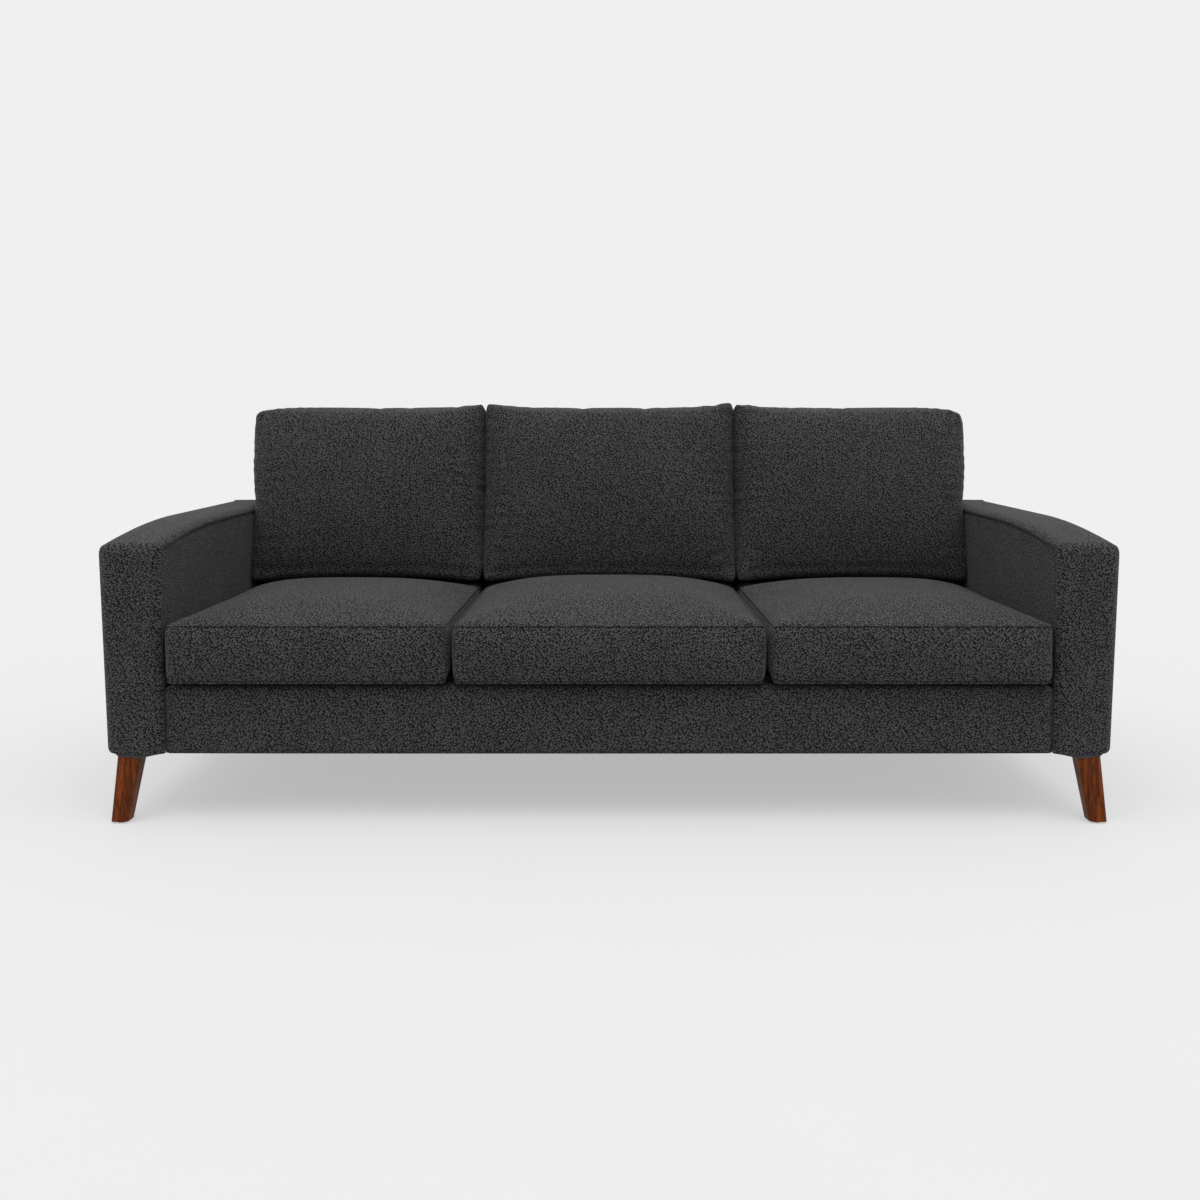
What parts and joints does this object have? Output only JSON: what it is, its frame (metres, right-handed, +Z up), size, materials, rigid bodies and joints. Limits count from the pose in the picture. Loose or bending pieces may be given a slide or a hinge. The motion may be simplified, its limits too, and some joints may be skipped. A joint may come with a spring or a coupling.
{
  "type": "three seat sofa",
  "caption": "Upholstered sofa with loose boxed seat and back cushions, gently curved arms and tapered, splayed wooden legs.",
  "frame": {"origin": "on the floor, under the middle of the sofa's overall box", "axes": "+Z up, +X along the sofa to the right as seen from the front, +Y from front to back"},
  "size_m": [2.2, 0.9098, 0.9047],
  "materials": {
    "charcoal_weave": "matte",
    "walnut": "satin",
    "frame_wood": "matte",
    "black_metal": "satin",
    "zinc_steel": "satin",
    "spring_steel": "satin",
    "glide_plastic": "matte",
    "webbing": "matte",
    "dust_cloth": "matte",
    "cushion_filling": "matte",
    "zip_metal": "satin",
    "zip_tape": "matte"
  },
  "bodies": {
    "frame": {"front_rail": "frame_wood", "rear_rail": "frame_wood", "seat_stretchers": "frame_wood", "corner_blocks": "frame_wood", "back_posts": "frame_wood", "back_top_rail": "frame_wood", "back_uprights": "frame_wood", "tack_rails": "frame_wood", "seat_springs": "spring_steel", "spring_clips": "zinc_steel", "back_webbing": "webbing", "front_rail_cover": "charcoal_weave", "seat_deck": "charcoal_weave", "inside_back": "charcoal_weave", "outside_back": "charcoal_weave", "dust_cover": "dust_cloth", "leg_plates": "black_metal", "leg_bolts": "zinc_steel", "leg_plate_screws": "zinc_steel", "leg_glides": "glide_plastic", "leg_front_left": "walnut", "leg_front_right": "walnut", "leg_rear_left": "walnut", "leg_rear_right": "walnut", "arm_band_left": "charcoal_weave", "arm_band_right": "charcoal_weave", "arm_inside_left": "charcoal_weave", "arm_inside_right": "charcoal_weave", "arm_outside_left": "charcoal_weave", "arm_outside_right": "charcoal_weave", "arm_post_left": "frame_wood", "arm_post_right": "frame_wood", "arm_top_rail_left": "frame_wood", "arm_top_rail_right": "frame_wood", "side_rail_left": "frame_wood", "side_rail_right": "frame_wood"},
    "seat_cushion_left": {"seat_cover_left": "charcoal_weave", "seat_core_left": "cushion_filling", "seat_zip_left": "zip_tape"},
    "seat_zip_slider_left": {"seat_zip_slider_left": "zip_metal"},
    "back_cushion_left": {"back_cover_left": "charcoal_weave", "back_filling_left": "cushion_filling", "back_zip_left": "zip_tape"},
    "back_zip_slider_left": {"back_zip_slider_left": "zip_metal"},
    "seat_cushion_middle": {"seat_cover_middle": "charcoal_weave", "seat_core_middle": "cushion_filling", "seat_zip_middle": "zip_tape"},
    "seat_zip_slider_middle": {"seat_zip_slider_middle": "zip_metal"},
    "back_cushion_middle": {"back_cover_middle": "charcoal_weave", "back_filling_middle": "cushion_filling", "back_zip_middle": "zip_tape"},
    "back_zip_slider_middle": {"back_zip_slider_middle": "zip_metal"},
    "seat_cushion_right": {"seat_cover_right": "charcoal_weave", "seat_core_right": "cushion_filling", "seat_zip_right": "zip_tape"},
    "seat_zip_slider_right": {"seat_zip_slider_right": "zip_metal"},
    "back_cushion_right": {"back_cover_right": "charcoal_weave", "back_filling_right": "cushion_filling", "back_zip_right": "zip_tape"},
    "back_zip_slider_right": {"back_zip_slider_right": "zip_metal"}
  },
  "joints": [
    {"name": "seat_cushion_left_pull", "type": "slide", "parent": "frame", "child": "seat_cushion_left", "axis": [0, -0.9998, 0.0209], "range_m": [0, 0.78]},
    {"name": "back_cushion_left_lift", "type": "slide", "parent": "frame", "child": "back_cushion_left", "axis": [0, 0, 1], "range_m": [0, 0.5]},
    {"name": "seat_zip_left_run", "type": "slide", "parent": "seat_cushion_left", "child": "seat_zip_slider_left", "axis": [1, 0, 0], "range_m": [0, 0.455]},
    {"name": "back_zip_left_run", "type": "slide", "parent": "back_cushion_left", "child": "back_zip_slider_left", "axis": [1, 0, 0], "range_m": [0, 0.464]},
    {"name": "seat_cushion_middle_pull", "type": "slide", "parent": "frame", "child": "seat_cushion_middle", "axis": [0, -0.9998, 0.0209], "range_m": [0, 0.78]},
    {"name": "back_cushion_middle_lift", "type": "slide", "parent": "frame", "child": "back_cushion_middle", "axis": [0, 0, 1], "range_m": [0, 0.5]},
    {"name": "seat_zip_middle_run", "type": "slide", "parent": "seat_cushion_middle", "child": "seat_zip_slider_middle", "axis": [1, 0, 0], "range_m": [0, 0.523]},
    {"name": "back_zip_middle_run", "type": "slide", "parent": "back_cushion_middle", "child": "back_zip_slider_middle", "axis": [1, 0, 0], "range_m": [0, 0.523]},
    {"name": "seat_cushion_right_pull", "type": "slide", "parent": "frame", "child": "seat_cushion_right", "axis": [0, -0.9998, 0.0209], "range_m": [0, 0.78]},
    {"name": "back_cushion_right_lift", "type": "slide", "parent": "frame", "child": "back_cushion_right", "axis": [0, 0, 1], "range_m": [0, 0.5]},
    {"name": "seat_zip_right_run", "type": "slide", "parent": "seat_cushion_right", "child": "seat_zip_slider_right", "axis": [1, 0, 0], "range_m": [0, 0.455]},
    {"name": "back_zip_right_run", "type": "slide", "parent": "back_cushion_right", "child": "back_zip_slider_right", "axis": [1, 0, 0], "range_m": [0, 0.464]}
  ]
}
